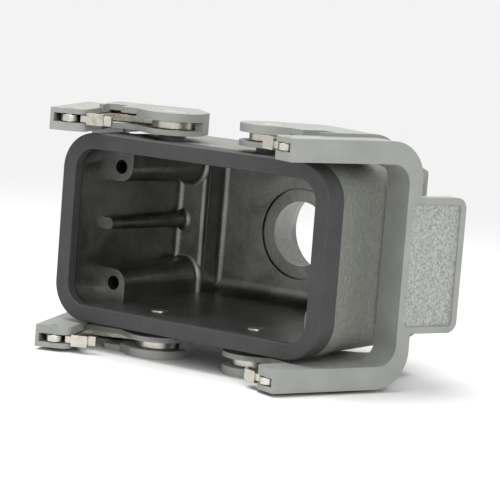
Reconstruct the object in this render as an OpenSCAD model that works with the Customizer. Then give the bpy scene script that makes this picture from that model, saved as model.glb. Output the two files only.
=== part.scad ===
// Heavy duty rectangular connector hood, cable to cable, with two swinging locking levers.
// Frame: origin at the centre of the mating face, +X along the long side of the hood,
// +Y from the mating face back to the cable entry, +Z across the hood. All sizes are in mm.

/* [Mating face] */
// Length of the mating outline
mating_l = 73; // [71:0.5:78]
// Width of the mating outline
mating_w = 43; // [42:0.5:46]
// Outer corner radius of the mating outline
corner_r = 8.5; // [7:0.5:10]

/* [Hood body] */
// Depth of the hood from the mating face to its back face
hood_depth = 47; // [46:0.5:54]
// Wall thickness at the open rim
wall = 3.5; // [3.2:0.1:4]
// Rounding of the edges round the back face
back_r = 8; // [5:0.5:9]
// Draft of the outer walls in degrees
outer_draft = 1; // [0.5:0.1:1.5]
// Depth of the thicker band behind the seal
band_depth = 5; // [4:0.5:7]
// Step from the band down to the wall behind it
band_step = 0.4; // [0.2:0.1:0.6]
// Inner corner radius of the cavity
cavity_r = 5.2; // [4:0.2:6]
// Draft of the long inner walls in degrees
long_draft = 1.9; // [1:0.1:2.2]
// Draft of the short inner walls in degrees
end_draft = 3; // [2:0.1:3.5]
// Depth from the mating face to the ledge at each end of the cavity
ledge_depth = 38; // [34:0.5:40]
// Length of the deep pocket between the ledges
pocket_l = 47; // [43:0.5:47.5]
// Thickness of the floor at the cable entry
floor_t = 2.7; // [2.4:0.1:4]
// Fillet between the long walls and the floor
floor_r = 3.5; // [2:0.5:5]
// Fillet at the foot of each short wall and step
foot_r = 1.5; // [1:0.1:2]
// Fillet round the feet of the bosses and ribs
cove_r = 1.2; // [0.8:0.1:1.3]
// Rounding of the ledge's edge over the deep pocket
ledge_round = 1.2; // [0.8:0.1:1.5]

/* [Cable entry] */
// Outside diameter of the neck
neck_d = 28; // [25:0.5:32]
// Length of the neck behind the back face
neck_l = 11.2; // [9:0.2:16]
// Major diameter of the entry thread
thread_d = 20; // [18:0.5:20.5]
// Diameter of the hole through the inner lip
lip_d = 15.2; // [13:0.2:16]
// Thickness of the inner lip
lip_t = 2; // [1.5:0.1:2.4]
// Depth of the machined disc round the entry below the floor
disc_sink = 0.5; // [0.2:0.1:0.8]
// Diameter of that disc at the middle of its edge groove
groove_d = 21.6; // [21:0.1:24]
// Width of the edge groove
groove_w = 0.6; // [0.4:0.1:1]
// Depth of the edge groove below the disc
groove_t = 0.6; // [0.3:0.1:0.8]

/* [Insert screws] */
// Screw distance along the hood
screw_dx = 57; // [55:0.5:58]
// Screw distance across the hood
screw_dz = 27; // [25:0.5:28]
// Core diameter of the screw holes
screw_core_d = 3.3; // [2.5:0.1:3.6]
// Depth of the screw holes
screw_depth = 12; // [8:0.5:16]
// Depth from the mating face to the screw bosses
boss_depth = 11.3; // [10:0.1:14]
// Corner radius of the bosses round the screws
boss_r = 3.3; // [2.8:0.1:3.6]
// Draft of the bosses in degrees
boss_draft = 2; // [1:0.1:2.2]

/* [End ribs] */
// Radius of each end rib at its top
rib_top_r = 1.35; // [1.2:0.05:1.6]
// Radius of each end rib at its foot
rib_foot_r = 1.9; // [1.7:0.1:2.4]
// How far each rib stands out of the cavity's rim outline at its top
rib_reach = 3.1; // [2.4:0.1:3.5]

/* [Mating seal] */
// Width of the seal's face
seal_w = 3.6; // [3.2:0.1:4.2]
// Thickness of the seal in front of the rim
seal_t = 2.8; // [2:0.1:3.5]
// Depth of the seal's outer skirt from the mating face
skirt_depth = 6; // [5:0.1:6.5]
// Thickness of the skirt
skirt_t = 1.8; // [1.4:0.1:2.2]

/* [Pivots] */
// Distance of each pivot axis from the hood's middle
pivot_x = 13.5; // [12:0.5:14]
// Distance of the pivot axes behind the mating face
pivot_y = 9.8; // [9.5:0.1:11]
// Diameter of the pivot pins
pin_d = 4; // [3.6:0.1:4.6]
// Radial running gap between pin and lever
run_gap = 0.05; // [0.02:0.01:0.08]
// Diameter of the spacer boss on the hood round each pin
spacer_d = 6.2; // [5.6:0.1:7]
// Gap between the spacer boss and the lever
spacer_gap = 0.3; // [0.1:0.05:0.5]
// Diameter of the pin's head
head_d = 5.6; // [5:0.1:6.4]
// Thickness of the pin's head
head_t = 0.7; // [0.5:0.1:0.9]
// How far the pin's formed end stands out inside the cavity
pin_end = 0.25; // [0.1:0.05:0.4]

/* [Levers] */
// Angle between a lever's arms and the hood's length when the lever stands open
open_angle = 69; // [66:1:74]
// Distance of the bow's inner face from the pivot, along the arms
bow_reach = 19.9; // [19.8:0.1:22]
// Thickness of the bow
bow_t = 3.6; // [3:0.1:4.5]
// Depth of the bow across the arms
bow_depth = 8; // [7:0.1:8.2]
// How far the box ends reach past the pivot, against the arms
box_reach = 11.7; // [11:0.1:13]
// Width of the box ends across the arms
box_w = 8.3; // [7.8:0.1:8.6]
// Rounding of the box ends' inner corner
box_r = 3.2; // [2.4:0.1:3.4]
// Gap between the hood and the arms at the front
arm_gap = 0.6; // [0.4:0.1:1]
// Thickness of the arms
arm_t = 5; // [4.8:0.1:5.6]
// How far the arms stand further out round the pivots
arm_step = 0.75; // [0.5:0.05:0.9]
// Radius of the arms round the pivots
eye_r = 7; // [6:0.1:7.5]
// Outer corner radius of the bow
bow_outer_r = 8.5; // [7:0.5:9]
// Inner corner radius of the bow
bow_inner_r = 4.5; // [3.5:0.5:5]

/* [Finger tab] */
// Length of the tab beyond the bow
tab_l = 12.6; // [10:0.2:16]
// Width of the tab
tab_w = 30; // [24:0.5:32]
// Thickness of the tab
tab_t = 3; // [2.4:0.1:4]
// Corner radius of the tab
tab_r = 2.5; // [1.5:0.1:4]
// Width of the border round the tab's panel
tab_border = 1.5; // [1:0.1:2.5]
// Depth of the panel below the border
panel_sink = 0.6; // [0.3:0.1:1]

/* [Locking claws] */
// Thickness of the claw's sheet
claw_t = 1.5; // [1.3:0.05:1.6]
// Gap between the sheet and each side of its slot
claw_gap = 0.22; // [0.1:0.01:0.25]
// Radius of the claw's eye round the pin
claw_eye_r = 4.8; // [4.2:0.1:5.2]
// Width of the claw's shank
shank_w = 4.6; // [4:0.1:5]
// Distance of the shank from the pivot, along the arms
shank_in = 4.2; // [3.8:0.1:4.3]
// Inner radius of the hook about the pivot
hook_r = 17.4; // [17:0.1:17.8]
// Width of the hook's band
hook_w = 1.9; // [1.4:0.1:2]
// Direction of the hook's tip from the arms in degrees
tip_angle = 123; // [120:1:126]
// Height of the thicker nose at the hook's tip
nose_h = 2.6; // [2.2:0.1:2.8]
// Width of the nose
nose_w = 3.8; // [3.4:0.1:4]
// Thickness of the nose
nose_t = 1.3; // [1:0.1:1.6]
// Height of the small return bend behind the nose
bend_h = 2.1; // [1.8:0.1:2.3]
// Reach of the sheet's tip beyond the hook's end, towards the roller
tip_l = 4.1; // [3.9:0.1:4.3]

/* [Rollers] */
// Diameter of the rollers
roller_d = 3.8; // [3.2:0.1:4]
// Gap between a roller and the tip of its claw
tip_gap = 0.6; // [0.4:0.1:1]
// Gap between a roller and the front wall of its box end
roller_gap = 1.4; // [1:0.1:1.7]
// Distance of the roller axis from the box end's near face
roller_in = 1.6; // [1.4:0.1:2.5]
// Diameter of the roller axles
axle_d = 1.6; // [1.2:0.1:2]

/* [Hidden] */
$fn = 64;
LEFT = -1;
RIGHT = 1;
UPPER = 1;
LOWER = -1;
EPS = 0.01;

half_l = mating_l / 2;
half_w = mating_w / 2;
floor_y = hood_depth - floor_t;
neck_end = hood_depth + neck_l;
disc_y = floor_y + disc_sink;
lip_back = disc_y + lip_t;
mouth_chamfer = 0.8;
neck_fillet = 3;
cavity_half_l = half_l - wall;
cavity_half_w = half_w - wall;
pocket_draft = 8;
pillar_in_x = screw_dx / 2;
pillar_in_z = screw_dz / 2;

// heights across the hood of the lever's layers
arm_in = half_w + arm_gap;
arm_out = arm_in + arm_t;
eye_in = arm_in + arm_step;
eye_out = arm_out + arm_step;
slot_mid = (eye_in + arm_out) / 2;
slot_half = claw_t / 2 + claw_gap;
spacer_top = eye_in - spacer_gap;
inner_wall_z = cavity_half_w - tan(long_draft) * (pivot_y - seal_t);
front_wall = 0.8;
slot_back = shank_in + shank_w + 1.2;
eye_clear = 0.4;
tip_reach = hook_r * sin(tip_angle) + tip_l;
roller_reach = tip_reach + tip_gap + roller_d / 2;
// distance of the lever's front face from the pivot, across the arms
front_reach = roller_reach + roller_d / 2 + roller_gap + front_wall;
box_back = front_reach - box_w;
notch_q = eye_r + 5.4;
hook_relief = 0.55;
boss_foot_r = boss_r + tan(boss_draft) * (ledge_depth - boss_depth);
bow_out = bow_reach + bow_t;
roller_x = roller_in - box_reach;

hood_grey = "#7b7d77";
lever_grey = "#9a9c98";
seal_black = "#37393a";
steel = "#cfcdc4";

// ---- outlines and helpers ----

// sweep an outline drawn in X and Z along +Y from y0 to y1
module slab(y0, y1) {
    translate([0, y1, 0]) rotate([90, 0, 0]) linear_extrude(y1 - y0) children();
}

// sweep an outline drawn in X and Y along Z, the same distance both ways
module thick(half) {
    translate([0, 0, -half]) linear_extrude(2 * half) children();
}

// sweep an outline drawn in Z (as x) and Y along X, the same distance both ways
module long(half) {
    rotate([0, 90, 0]) mirror([1, 0, 0]) thick(half) children();
}

module rounded_rect(l, w, r) {
    square([l - 2 * r, w], center = true);
    square([l, w - 2 * r], center = true);
    for (sx = [-1, 1], sy = [-1, 1])
        translate([sx * (l / 2 - r), sy * (w / 2 - r)]) circle(r);
}

// a section that narrows by its draft from y0 to y1 and ends in two round corners
module drafted(half, y0, y1, r, draft) {
    tangent_y = y1 - r + r * sin(draft);
    tangent_x = half - tan(draft) * (tangent_y - y0);
    centre_x = tangent_x - r * cos(draft);
    polygon([[-half, y0], [half, y0], [tangent_x, tangent_y], [centre_x, y1],
        [-centre_x, y1], [-tangent_x, tangent_y]]);
    for (s = [-1, 1]) translate([s * centre_x, y1 - r]) circle(r);
}

// ---- hood ----

module hood_shell() {
    rim_l = mating_l - 2 * skirt_t;
    rim_w = mating_w - 2 * skirt_t;
    slab(seal_t, skirt_depth + EPS) rounded_rect(rim_l, rim_w, corner_r - skirt_t);
    slab(skirt_depth, skirt_depth + band_depth) rounded_rect(mating_l, mating_w, corner_r);
    intersection() {
        slab(skirt_depth, hood_depth)
            rounded_rect(mating_l - 2 * band_step, mating_w - 2 * band_step, corner_r - band_step);
        thick(half_w) drafted(half_l - band_step, skirt_depth, hood_depth, back_r, outer_draft);
        long(half_l) drafted(half_w - band_step, skirt_depth, hood_depth, back_r, outer_draft);
    }
}

module hood_neck() {
    chamfer = 1;
    rotate([-90, 0, 0]) {
        translate([0, 0, floor_y + EPS]) cylinder(d = neck_d, h = neck_end - floor_y - chamfer);
        translate([0, 0, neck_end - chamfer]) cylinder(d1 = neck_d, d2 = neck_d - 2 * chamfer, h = chamfer);
        rotate_extrude() difference() {
            translate([0, hood_depth - EPS]) square([neck_d / 2 + neck_fillet, neck_fillet]);
            translate([neck_d / 2 + neck_fillet, hood_depth + neck_fillet]) circle(neck_fillet);
        }
    }
}

// boss round each screw, joined to the two walls of its corner, widening with its draft
module screw_pillars() {
    run = ledge_depth - boss_depth + 1;
    end_r = boss_r + tan(boss_draft) * run;
    for (sx = [-1, 1], sz = [-1, 1]) scale([sx, 1, sz]) translate([pillar_in_x, boss_depth, pillar_in_z]) {
        rotate([-90, 0, 0]) cylinder(r1 = boss_r, r2 = end_r, h = run);
        linear_extrude(wall + end_r) boss_side(run, end_r);
        rotate([90, 0, 90]) linear_extrude(wall + end_r) mirror([0, 1]) rotate([0, 0, -90]) boss_side(run, end_r);
        translate([0, ledge_depth - boss_depth, 0]) {
            cove_ring(boss_foot_r);
            linear_extrude(wall + end_r) cove_edge(-boss_foot_r);
            rotate([0, 90, 0]) linear_extrude(wall + end_r) rotate([0, 0, 90]) mirror([1, 0]) rotate([0, 0, 90])
                cove_edge(-boss_foot_r);
        }
    }
}

// outline of a boss's flat side, from its top down past the ledge
module boss_side(run, end_r) {
    polygon([[-boss_r, 0], [wall + end_r, 0], [wall + end_r, run], [-end_r, run]]);
}

// small fillet round a foot of radius r that stands on the ledge
module cove_ring(r) {
    rotate([-90, 0, 0]) rotate_extrude() difference() {
        translate([r - 0.1, -cove_r]) square([cove_r + 0.1, cove_r + 0.5]);
        translate([r + cove_r, -cove_r]) circle(cove_r);
    }
}

// the same fillet along a straight edge at x
module cove_edge(x) {
    difference() {
        translate([x - cove_r, -cove_r]) square([cove_r + 0.1, cove_r + 0.5]);
        translate([x - cove_r, -cove_r]) circle(cove_r);
    }
}

// rib down the middle of each short wall
module end_ribs() {
    rib_l = ledge_depth - boss_depth;
    top_x = cavity_half_l - rib_reach + rib_top_r;
    foot_x = cavity_half_l - rib_reach + rib_foot_r - tan(end_draft) * rib_l;
    for (s = [-1, 1]) scale([s, 1, 1]) {
        intersection() {
            translate([top_x, boss_depth, 0]) rotate([0, 0, atan((top_x - foot_x) / rib_l)])
                rotate([-90, 0, 0]) translate([0, 0, -1])
                    cylinder(r1 = rib_top_r, r2 = rib_foot_r, h = rib_l + 2);
            translate([0, boss_depth, -half_w]) cube([half_l, rib_l + 1, 2 * half_w]);
        }
        slab(boss_depth, ledge_depth + 1)
            translate([top_x, -rib_top_r]) square([half_l - top_x, 2 * rib_top_r]);
        translate([foot_x, ledge_depth, 0]) cove_ring(rib_foot_r);
    }
}

module cavity() {
    pocket_half = pocket_l / 2;
    intersection() {
        slab(seal_t - 1, floor_y)
            rounded_rect(2 * cavity_half_l, 2 * cavity_half_w, cavity_r);
        thick(half_w) {
            drafted(cavity_half_l, seal_t - 1, ledge_depth, foot_r, end_draft);
            drafted(pocket_half, ledge_depth, floor_y, foot_r, pocket_draft);
            for (s = [-1, 1]) scale([s, 1]) difference() {
                translate([pocket_half - 1, ledge_depth - 1]) square([1 + ledge_round, 1 + ledge_round]);
                translate([pocket_half + ledge_round, ledge_depth + ledge_round]) circle(ledge_round);
            }
        }
        long(half_l) drafted(cavity_half_w, seal_t - 1, floor_y, floor_r, long_draft);
    }
}

module entry_bore() {
    rotate([-90, 0, 0]) {
        translate([0, 0, floor_y - 1]) cylinder(d = groove_d, h = 1 + disc_sink);
        translate([0, 0, disc_y - EPS]) difference() {
            cylinder(d = groove_d + groove_w, h = groove_t);
            translate([0, 0, -1]) cylinder(d = groove_d - groove_w, h = groove_t + 2);
        }
        translate([0, 0, floor_y - 1]) cylinder(d = lip_d, h = lip_t + 3);
        translate([0, 0, lip_back]) cylinder(d = thread_d, h = neck_end - lip_back + 1);
        translate([0, 0, neck_end - mouth_chamfer])
            cylinder(d1 = thread_d, d2 = thread_d + 2 * mouth_chamfer + 2 * EPS, h = mouth_chamfer + EPS);
    }
}

module screw_holes() {
    for (sx = [-1, 1], sz = [-1, 1])
        translate([sx * pillar_in_x, boss_depth - 1, sz * pillar_in_z])
            rotate([-90, 0, 0]) cylinder(d = screw_core_d, h = screw_depth + 1);
}

module hood_body() {
    color(hood_grey) difference() {
        union() {
            hood_shell();
            hood_neck();
            for (s = [-1, 1]) translate([s * pivot_x, pivot_y, 0])
                thick_disc(spacer_d, spacer_top);
        }
        difference() {
            cavity();
            screw_pillars();
            end_ribs();
        }
        entry_bore();
        screw_holes();
        for (s = [-1, 1]) translate([s * pivot_x, pivot_y, -half_w - 5])
            cylinder(d = pin_d, h = 2 * half_w + 10);
    }
}

// two spacer discs, one on each long wall
module thick_disc(d, top) {
    for (s = [-1, 1]) scale([1, 1, s])
        translate([0, 0, half_w - wall / 2]) cylinder(d = d, h = top - half_w + wall / 2);
}

module mating_seal() {
    color(seal_black) difference() {
        slab(0, skirt_depth) rounded_rect(mating_l, mating_w, corner_r);
        slab(-1, skirt_depth + 1)
            rounded_rect(mating_l - 2 * seal_w, mating_w - 2 * seal_w, corner_r - seal_w);
        slab(seal_t, skirt_depth + 1)
            rounded_rect(mating_l - 2 * skirt_t, mating_w - 2 * skirt_t, corner_r - skirt_t);
    }
}

// ---- levers, drawn with the arms along +X, the front face towards -Y and the pivot at the origin ----

module on_lever(side) {
    scale([side, 1, 1]) translate([pivot_x, pivot_y, 0]) rotate([0, 0, open_angle]) children();
}

// outline of the bow and its arms seen from the front
module bow_section(in_z, out_z) {
    back = box_reach + eye_r;
    difference() {
        union() {
            translate([-back, -out_z]) square([back + bow_out - bow_outer_r, 2 * out_z]);
            translate([-back, bow_outer_r - out_z]) square([back + bow_out, 2 * (out_z - bow_outer_r)]);
            for (s = [-1, 1])
                translate([bow_out - bow_outer_r, s * (out_z - bow_outer_r)]) circle(bow_outer_r);
        }
        translate([-back - 1, -in_z]) square([1 + back + bow_reach - bow_inner_r, 2 * in_z]);
        translate([-back - 1, bow_inner_r - in_z])
            square([1 + back + bow_reach, 2 * (in_z - bow_inner_r)]);
        for (s = [-1, 1])
            translate([bow_reach - bow_inner_r, s * (in_z - bow_inner_r)]) circle(bow_inner_r);
    }
}

// front of the lever: box ends, front faces of the arms and the bow
module lever_front() {
    intersection() {
        slab(-front_reach, bow_depth - front_reach) bow_section(arm_in, arm_out);
        thick(arm_out) {
            translate([-box_reach, -front_reach]) square([box_reach + bow_out, box_w - box_r]);
            translate([box_r - box_reach, -front_reach]) square([box_reach + bow_out - box_r, box_w]);
            translate([box_r - box_reach, -box_back - box_r]) circle(box_r);
            translate([bow_reach - bow_inner_r, -front_reach])
                square([bow_inner_r + bow_t, bow_depth]);
        }
    }
}

// blades of the arms round the pivots, open in front of the pivot for the locking peg
module lever_blades() {
    root = bow_reach - 0.4;
    difference() {
        intersection() {
            slab(-box_back - 1, eye_r) bow_section(eye_in, eye_out);
            thick(eye_out) {
                circle(eye_r);
                polygon([[0, eye_r], [eye_r * 0.7, eye_r], [bow_reach - 2.9, 0.5], [root - 1, -box_back / 2],
                    [root, -box_back - 1], [1, -box_back - 1], [-1, -eye_r - 1.5],
                    [-eye_r * 0.79, -eye_r * 0.62]]);
            }
        }
        for (s = [-1, 1]) scale([1, 1, s]) {
            translate([-1, -box_back, slot_mid]) cube([6.4, box_back - notch_q, arm_t]);
            translate([-EPS - 2, -box_back, slot_mid])
                cube([slot_back + 2, box_back - eye_r - 1.5, slot_half + hook_relief]);
        }
    }
}

// slots that take the claws and rollers, open towards the box ends' near side
module claw_slots() {
    near = box_reach + 1;
    depth = front_reach - front_wall;
    for (s = [-1, 1]) scale([1, 1, s]) translate([0, 0, slot_mid - slot_half]) linear_extrude(2 * slot_half) {
        translate([-near, front_wall - front_reach]) square([near, depth + eye_r + 1]);
        translate([-EPS, front_wall - front_reach]) square([slot_back, depth + claw_eye_r + eye_clear]);
    }
}

module finger_tab() {
    difference() {
        slab(-front_reach, tab_t - front_reach)
            translate([bow_out + (tab_l - bow_t) / 2, 0]) rounded_rect(tab_l + bow_t, tab_w, tab_r);
        slab(-front_reach - 1, panel_sink - front_reach) tab_panel();
    }
}

module tab_panel() {
    panel_from = bow_reach + tab_border;
    panel_to = bow_out + tab_l - tab_border;
    translate([(panel_from + panel_to) / 2, 0])
        rounded_rect(panel_to - panel_from, tab_w - 2 * tab_border, tab_r - tab_border);
}

module lever_bow(side) {
    color(lever_grey) on_lever(side) difference() {
        union() {
            lever_front();
            lever_blades();
            finger_tab();
        }
        slab(-front_reach - 1, panel_sink - front_reach) tab_panel();
        claw_slots();
        for (s = [-1, 1]) scale([1, 1, s]) {
            translate([0, 0, eye_in - 1]) cylinder(d = pin_d + 2 * run_gap, h = arm_t + 3);
            translate([0, 0, eye_out - head_t - run_gap]) cylinder(d = head_d + 4 * run_gap, h = head_t + 2);
            translate([roller_x, -roller_reach, arm_in - 1]) cylinder(d = axle_d, h = arm_t + 2);
        }
    }
}

module pivot_pin(side, level) {
    color(steel) scale([side, 1, level]) translate([pivot_x, pivot_y, 0]) {
        translate([0, 0, inner_wall_z - pin_end]) cylinder(d = pin_d, h = eye_out - inner_wall_z + pin_end);
        translate([0, 0, eye_out - head_t]) cylinder(d = head_d, h = head_t);
    }
}

module claw(side, level) {
    tip = [hook_r * cos(tip_angle), -hook_r * sin(tip_angle)];
    color(steel) scale([1, 1, level]) on_lever(side) difference() {
        union() {
            translate([0, 0, slot_mid - claw_t / 2]) linear_extrude(claw_t) claw_outline(tip);
            translate([tip[0] - nose_t - 0.3, tip[1] - nose_w * 0.64, slot_mid + 0.1 - nose_h / 2])
                cube([nose_t, nose_w, nose_h]);
            translate([tip[0] - 0.3, tip[1] + nose_w * 0.36 - 0.3, slot_mid - 0.1 - bend_h / 2])
                cube([nose_t, nose_w * 0.5, bend_h]);
        }
        translate([0, 0, arm_in]) cylinder(d = pin_d + 2 * run_gap, h = arm_t + 1);
    }
}

module claw_outline(tip) {
    circle(claw_eye_r);
    translate([0, -claw_eye_r * 0.7]) square([shank_in + shank_w, claw_eye_r * 1.1]);
    translate([shank_in, -hook_r]) square([shank_w, hook_r]);
    difference() {
        circle(hook_r + hook_w);
        circle(hook_r);
        rotate([0, 0, -tip_angle]) translate([-2 * hook_r, -3 * hook_r]) square([4 * hook_r, 3 * hook_r]);
        translate([shank_in + shank_w, -3 * hook_r]) square([2 * hook_r, 6 * hook_r]);
        translate([-2 * hook_r, 0]) square([4 * hook_r, 2 * hook_r]);
    }
    // tip of the sheet, between the nose and the roller
    polygon([tip, [tip[0] + 1, tip[1] + hook_w], [tip[0] - 0.2, tip[1] + hook_w],
        [tip[0] - 1.4, tip[1] - 0.5], [tip[0] - 1.2, tip[1] - tip_l + 0.2], [tip[0] + 0.6, tip[1] - tip_l],
        [tip[0] + 1.2, tip[1] - 1.5]]);
}

module roller(side, level) {
    color(steel) scale([1, 1, level]) on_lever(side)
        translate([roller_x, -roller_reach, slot_mid - claw_t / 2]) difference() {
            cylinder(d = roller_d, h = claw_t);
            translate([0, 0, -1]) cylinder(d = axle_d, h = claw_t + 2);
        }
}

module axle(side, level) {
    color(steel) scale([1, 1, level]) on_lever(side)
        translate([roller_x, -roller_reach, arm_in + 0.3]) cylinder(d = axle_d, h = arm_t - 0.5);
}

hood_body();
mating_seal();
pivot_pin(LEFT, UPPER);  // left_upper_pivot_pin
pivot_pin(LEFT, LOWER);  // left_lower_pivot_pin
pivot_pin(RIGHT, UPPER);  // right_upper_pivot_pin
pivot_pin(RIGHT, LOWER);  // right_lower_pivot_pin
lever_bow(LEFT);  // left_lever_bow
lever_bow(RIGHT);  // right_lever_bow
claw(LEFT, UPPER);  // left_upper_claw
claw(LEFT, LOWER);  // left_lower_claw
claw(RIGHT, UPPER);  // right_upper_claw
claw(RIGHT, LOWER);  // right_lower_claw
roller(LEFT, UPPER);  // left_upper_roller
roller(LEFT, LOWER);  // left_lower_roller
roller(RIGHT, UPPER);  // right_upper_roller
roller(RIGHT, LOWER);  // right_lower_roller
axle(LEFT, UPPER);  // left_upper_axle
axle(LEFT, LOWER);  // left_lower_axle
axle(RIGHT, UPPER);  // right_upper_axle
axle(RIGHT, LOWER);  // right_lower_axle
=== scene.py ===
import math

import bmesh
import bpy
from mathutils import Euler, Matrix, Vector


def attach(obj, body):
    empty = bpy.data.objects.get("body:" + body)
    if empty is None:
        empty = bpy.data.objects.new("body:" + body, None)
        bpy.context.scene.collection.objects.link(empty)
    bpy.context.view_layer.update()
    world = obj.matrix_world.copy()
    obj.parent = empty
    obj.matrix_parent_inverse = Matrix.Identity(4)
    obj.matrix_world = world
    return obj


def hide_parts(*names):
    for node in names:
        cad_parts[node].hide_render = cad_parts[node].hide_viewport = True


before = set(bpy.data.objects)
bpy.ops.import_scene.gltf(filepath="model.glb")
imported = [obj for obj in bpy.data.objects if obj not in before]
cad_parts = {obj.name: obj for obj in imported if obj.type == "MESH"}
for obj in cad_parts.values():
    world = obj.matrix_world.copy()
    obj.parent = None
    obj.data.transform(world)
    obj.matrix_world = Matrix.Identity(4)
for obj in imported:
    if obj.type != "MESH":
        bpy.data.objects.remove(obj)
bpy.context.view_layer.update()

MM = 0.001
SIDES = ("left", "right")
LEVELS = ("upper", "lower")

# sizes that the hood and levers share with the solids, in millimetres
PIVOT_X = 13.5
PIVOT_Y = 9.8
OPEN_ANGLE = 69.0
BOW_REACH = 19.9
FRONT_REACH = 25.3
PANEL_SINK = 0.6
NECK_END = 58.2
LIP_BACK = 46.8
FLOOR_Y = 44.3
THREAD_ROOT_R = 10.0
THREAD_CREST_R = 9.19
THREAD_PITCH = 1.5
LOWEST_Z = -27.85


# ---- helpers ----

def paint(colour):
    """An sRGB hex colour as the linear RGBA that a shader wants."""
    parts = [int(colour[i:i + 2], 16) / 255.0 for i in (1, 3, 5)]
    return [c / 12.92 if c <= 0.04045 else ((c + 0.055) / 1.055) ** 2.4 for c in parts] + [1.0]


def add(tree, kind, links=None, **settings):
    """Adds one node, with its settings, and its inputs as values or as sockets to link."""
    made = tree.nodes.new(kind)
    for name, value in settings.items():
        setattr(made, name, value)
    for name, value in (links or {}).items():
        if isinstance(value, bpy.types.NodeSocket):
            tree.links.new(value, made.inputs[name])
        else:
            made.inputs[name].default_value = value
    return made


def new_material(name):
    """An empty node material with its shader, and the piece's own coordinates."""
    material = bpy.data.materials.new(name)
    material.use_nodes = True
    tree = material.node_tree
    shader = tree.nodes["Principled BSDF"]
    place = add(tree, "ShaderNodeTexCoord").outputs["Object"]
    return material, tree, shader, place


def ramp(tree, value, stops):
    """A colour ramp through (position, colour) stops."""
    made = add(tree, "ShaderNodeValToRGB", {"Fac": value})
    points = made.color_ramp.elements
    while len(points) < len(stops):
        points.new(0.5)
    for point, (position, colour) in zip(points, stops):
        point.position = position
        point.color = paint(colour) if isinstance(colour, str) else (colour, colour, colour, 1.0)
    return made.outputs["Color"]


def noise(tree, place, grain_mm, detail=2.0, roughness=0.5, distortion=0.0):
    """Noise whose grain has a real size in millimetres."""
    return add(tree, "ShaderNodeTexNoise", {
        "Vector": place, "Scale": 1.0 / (grain_mm * MM), "Detail": detail,
        "Roughness": roughness, "Distortion": distortion}).outputs["Fac"]


def maths(tree, operation, a, b=0.0, clamp=False):
    return add(tree, "ShaderNodeMath", {0: a, 1: b}, operation=operation, use_clamp=clamp).outputs[0]


def blend_values(tree, factor, a, b, colour=False):
    kind = "RGBA" if colour else "FLOAT"
    made = add(tree, "ShaderNodeMix", data_type=kind)
    inputs = [s for s in made.inputs if s.enabled]
    for socket, value in zip(inputs, (factor, a, b)):
        if isinstance(value, bpy.types.NodeSocket):
            tree.links.new(value, socket)
        else:
            socket.default_value = value
    return [s for s in made.outputs if s.enabled][0]


def relief(tree, heights, shader):
    """Stacks bumps, each a height socket and its depth in millimetres, on the shader's normal."""
    normal = None
    for height, depth_mm in heights:
        links = {"Height": height, "Distance": depth_mm * MM, "Strength": 1.0}
        if normal is not None:
            links["Normal"] = normal
        normal = add(tree, "ShaderNodeBump", links).outputs["Normal"]
    tree.links.new(normal, shader.inputs["Normal"])


# ---- materials ----

def hood_finish():
    """Die-cast aluminium under wrinkle powder coat outside, bare as it left the die inside."""
    material, tree, shader, place = new_material("powder_coated_die_cast_aluminium")

    # inside of the walls: a round-cornered box between the coated and the bare faces, and the bore
    flat = add(tree, "ShaderNodeVectorMath", {0: place}, operation="ABSOLUTE").outputs[0]
    near = add(tree, "ShaderNodeVectorMath", {0: flat, 1: (0.0283, 0.0396, 0.0134)},
               operation="SUBTRACT").outputs[0]
    over = add(tree, "ShaderNodeVectorMath", {0: near, 1: (0.0, 0.0, 0.0)}, operation="MAXIMUM").outputs[0]
    depth = add(tree, "ShaderNodeVectorMath", {0: over}, operation="LENGTH").outputs["Value"]
    in_box = maths(tree, "LESS_THAN", depth, 0.006)
    across = add(tree, "ShaderNodeVectorMath", {0: place, 1: (1.0, 0.0, 1.0)}, operation="MULTIPLY").outputs[0]
    radius = add(tree, "ShaderNodeVectorMath", {0: across}, operation="LENGTH").outputs["Value"]
    in_bore = maths(tree, "LESS_THAN", radius, 0.0109)
    bare = maths(tree, "MAXIMUM", in_box, in_bore)

    # coat: grey, with a painted highlight that lightens it where the wrinkles stand up, as if light caught
    # their crests
    wrinkle = noise(tree, place, 0.85, 3.0, 0.55, 0.35)
    coat_and_crest_highlight = ramp(tree, wrinkle, [(0.3, "#6b6d67"), (0.7, "#80827b")])
    # casting: dark grey metal with cloudy flow marks and bright grain
    flow = noise(tree, place, 9.0, 3.0, 0.6, 0.8)
    grain = noise(tree, place, 0.34, 2.0, 0.7)
    cloudy = ramp(tree, flow, [(0.3, "#6d6d6b"), (0.7, "#8f8f8c")])
    specks = ramp(tree, grain, [(0.56, 0.0), (0.72, 0.35)])
    metal = blend_values(tree, specks, cloudy, paint("#c4c4c0"), colour=True)
    tree.links.new(blend_values(tree, bare, coat_and_crest_highlight, metal, colour=True), shader.inputs["Base Color"])
    tree.links.new(bare, shader.inputs["Metallic"])
    rough = blend_values(tree, flow, 0.3, 0.46)
    tree.links.new(blend_values(tree, bare, 0.42, rough), shader.inputs["Roughness"])

    # the wrinkles are about twice as coarse as real ones, so that they show
    coat_height = maths(tree, "SUBTRACT", 1.0, bare)
    relief(tree, [(maths(tree, "MULTIPLY", wrinkle, coat_height), 0.35),
                  (maths(tree, "MULTIPLY", grain, bare), 0.035)], shader)
    return material


def seal_rubber():
    """Moulded nitrile rubber: near black, dull, with a faint grey bloom."""
    material, tree, shader, place = new_material("moulded_nitrile_rubber")
    bloom = noise(tree, place, 6.0, 4.0, 0.6)
    tree.links.new(ramp(tree, bloom, [(0.3, "#303231"), (0.7, "#3b3d3c")]), shader.inputs["Base Color"])
    shader.inputs["Roughness"].default_value = 0.62
    shader.inputs["IOR"].default_value = 1.52
    relief(tree, [(noise(tree, place, 0.4, 2.0), 0.02)], shader)
    return material


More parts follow.
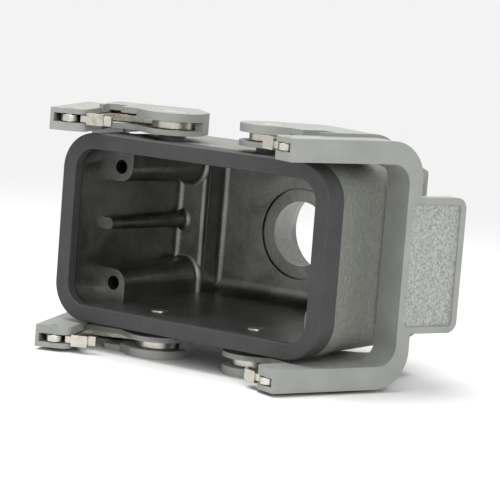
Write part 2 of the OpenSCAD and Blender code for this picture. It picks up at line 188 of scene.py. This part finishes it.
def lever_plastic():
    """Moulded glass-filled polyamide: light grey, satin, with a sparked texture on the tab's panel."""
    material, tree, shader, place = new_material("moulded_glass_filled_polyamide")
    # the same lever coordinates for both levers: along the arms, across them, and up
    split = add(tree, "ShaderNodeSeparateXYZ", {0: place})
    one_side = add(tree, "ShaderNodeCombineXYZ", {
        "X": maths(tree, "ABSOLUTE", split.outputs["X"]), "Y": split.outputs["Y"],
        "Z": split.outputs["Z"]}).outputs[0]
    on_lever = add(tree, "ShaderNodeMapping", {
        "Vector": one_side, "Location": (PIVOT_X * MM, PIVOT_Y * MM, 0.0),
        "Rotation": (0.0, 0.0, math.radians(OPEN_ANGLE))}, vector_type="TEXTURE").outputs[0]
    lever = add(tree, "ShaderNodeSeparateXYZ", {0: on_lever})
    sunk = maths(tree, "GREATER_THAN", lever.outputs["Y"], -(FRONT_REACH - PANEL_SINK / 2) * MM)
    front = maths(tree, "LESS_THAN", lever.outputs["Y"], -(FRONT_REACH - PANEL_SINK * 1.5) * MM)
    beyond = maths(tree, "GREATER_THAN", lever.outputs["X"], (BOW_REACH + 0.6) * MM)
    panel = maths(tree, "MULTIPLY", maths(tree, "MULTIPLY", sunk, front), beyond)

    shade = noise(tree, place, 7.0, 3.0)
    fine = noise(tree, place, 0.3, 2.0, 0.6)
    spark = noise(tree, place, 0.62, 3.0, 0.65)
    body = ramp(tree, shade, [(0.3, "#8f918d"), (0.7, "#9b9d98")])
    speckled = ramp(tree, spark, [(0.36, "#868984"), (0.64, "#b3b6b2")])
    tree.links.new(blend_values(tree, panel, body, speckled, colour=True), shader.inputs["Base Color"])
    shader.inputs["Roughness"].default_value = 0.48
    shader.inputs["IOR"].default_value = 1.53
    # sparked grain about twice as coarse as real, so that it shows
    relief(tree, [(maths(tree, "MULTIPLY", spark, panel), 0.22), (fine, 0.012)], shader)
    return material


def plated_steel(name, grain_mm, tint):
    """Nickel-plated steel, stamped or turned and tumbled: bright, warm, softly uneven."""
    material, tree, shader, place = new_material(name)
    shade = noise(tree, place, grain_mm, 3.0, 0.6, 0.5)
    tree.links.new(ramp(tree, shade, [(0.3, tint[0]), (0.7, tint[1])]), shader.inputs["Base Color"])
    shader.inputs["Metallic"].default_value = 1.0
    tree.links.new(ramp(tree, shade, [(0.3, 0.22), (0.7, 0.36)]), shader.inputs["Roughness"])
    relief(tree, [(noise(tree, place, 0.5, 2.0), 0.02)], shader)
    return material


# ---- pieces ----

def link(name, mesh):
    obj = bpy.data.objects.new(name, mesh)
    bpy.context.scene.collection.objects.link(obj)
    return obj


def welded(node_name):
    """A copy of a CAD node's mesh, with its loose triangles joined and flat faces made whole."""
    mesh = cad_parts[node_name].data.copy()
    if "custom_normal" in mesh.attributes:
        mesh.attributes.remove(mesh.attributes["custom_normal"])
    bm = bmesh.new()
    bm.from_mesh(mesh)
    bmesh.ops.remove_doubles(bm, verts=bm.verts, dist=0.002 * MM)
    bmesh.ops.dissolve_degenerate(bm, dist=0.002 * MM, edges=bm.edges)
    bmesh.ops.dissolve_limit(bm, angle_limit=math.radians(0.4), verts=bm.verts, edges=bm.edges)
    bm.to_mesh(mesh)
    bm.free()
    return mesh


def eased(node_name, body, material, width, segments=3, angle=35.0):
    """A piece that stands for a CAD node, with its sharp edges rounded as the real one's are."""
    obj = link(node_name + "_shape", welded(node_name))
    obj.data.materials.clear()
    obj.data.materials.append(material)
    obj.data.shade_smooth()
    edge = obj.modifiers.new("rounded edges", "BEVEL")
    edge.width = width * MM
    edge.segments = segments
    edge.limit_method = "ANGLE"
    edge.angle_limit = math.radians(angle)
    edge.harden_normals = True
    edge.miter_outer = "MITER_ARC"
    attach(obj, body)
    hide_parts(node_name)
    return obj


def coat_node(node_name, material):
    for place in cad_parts[node_name].material_slots:
        place.material = material


# ---- studio ----

def camera():
    data = bpy.data.cameras.new("camera")
    data.lens = 180.0
    data.sensor_width = 36.0
    data.clip_start = 0.01
    data.dof.use_dof = False
    obj = bpy.data.objects.new("camera", data)
    bpy.context.scene.collection.objects.link(obj)
    right = Vector((0.8120, 0.5790, 0.0780)).normalized()
    up = Vector((-0.1340, 0.0540, 0.9890))
    back = right.cross(up).normalized()
    up = back.cross(right)
    placed = Matrix((right, up, back)).transposed().to_4x4()
    placed.translation = Vector((0.3249, -0.4405, 0.0667))
    obj.matrix_world = placed
    bpy.context.scene.camera = obj


def soft_light(name, place, target, size, watts):
    """A square softbox that looks at its target."""
    data = bpy.data.lights.new(name, "AREA")
    data.energy = watts
    data.size = size
    obj = bpy.data.objects.new(name, data)
    obj.location = place
    obj.rotation_euler = (Vector(place) - Vector(target)).to_track_quat("Z", "Y").to_euler()
    bpy.context.scene.collection.objects.link(obj)


def studio():
    """A pale floor that fades into the same pale surroundings, under soft light from above and in front."""
    world = bpy.data.worlds.new("studio")
    bpy.context.scene.world = world
    world.use_nodes = True
    tree = world.node_tree
    tree.nodes.clear()
    rays = add(tree, "ShaderNodeLightPath")
    seen = maths(tree, "MAXIMUM", rays.outputs["Is Camera Ray"],
                 maths(tree, "MAXIMUM", rays.outputs["Is Glossy Ray"], rays.outputs["Is Transmission Ray"]))
    strength = blend_values(tree, seen, 0.42, 1.0)
    backdrop = add(tree, "ShaderNodeBackground", {"Color": paint("#f3f3f3"), "Strength": strength})
    add(tree, "ShaderNodeOutputWorld", {"Surface": backdrop.outputs[0]})

    bm = bmesh.new()
    bmesh.ops.create_circle(bm, cap_ends=True, segments=96, radius=3.0)
    for vert in bm.verts:
        vert.co.z = (LOWEST_Z - 0.05) * MM
    mesh = bpy.data.meshes.new("floor")
    bm.to_mesh(mesh)
    bm.free()
    floor = link("floor", mesh)
    material, tree, shader, place = new_material("matt_white_floor")
    shader.inputs["Base Color"].default_value = paint("#efefef")
    shader.inputs["Roughness"].default_value = 0.9
    shader.inputs["Specular IOR Level"].default_value = 0.1
    away = add(tree, "ShaderNodeVectorMath", {0: place}, operation="LENGTH").outputs["Value"]
    fade = add(tree, "ShaderNodeMapRange", {"Value": away, "From Min": 0.10, "From Max": 0.45},
               interpolation_type="SMOOTHSTEP").outputs["Result"]
    glow = add(tree, "ShaderNodeEmission", {"Color": paint("#f3f3f3"), "Strength": 1.0})
    mixed = add(tree, "ShaderNodeMixShader", {0: fade, 1: shader.outputs[0], 2: glow.outputs[0]})
    tree.links.new(mixed.outputs[0], tree.nodes["Material Output"].inputs["Surface"])
    floor.data.materials.append(material)

    middle = (0.0, 0.02, 0.0)
    soft_light("overhead softbox", (-0.15, -0.05, 0.8), middle, 0.7, 9.0)
    soft_light("front softbox", (0.55, -0.45, 0.35), middle, 0.4, 2.5)
    view = bpy.context.scene.view_settings
    view.view_transform = "Standard"


camera()
studio()

hood = hood_finish()
rubber = seal_rubber()
plastic = lever_plastic()
stamped = plated_steel("stamped_nickel_plated_steel", 2.0, ("#b9b5a9", "#d6d2c6"))
turned = plated_steel("turned_nickel_plated_steel", 1.2, ("#c2bfb4", "#dcd9cf"))

coat_node("hood_body", hood)
eased("mating_seal", "housing", rubber, 0.35)
for side in SIDES:
    lever = side + "_lever"
    eased(side + "_lever_bow", lever, plastic, 0.55)
    for level in LEVELS:
        corner = side + "_" + level
        eased(corner + "_pivot_pin", "housing", turned, 0.12, 2)
        eased(corner + "_claw", lever, stamped, 0.12, 2)
        eased(corner + "_roller", lever, turned, 0.15, 2)
        eased(corner + "_axle", lever, turned, 0.1, 2)
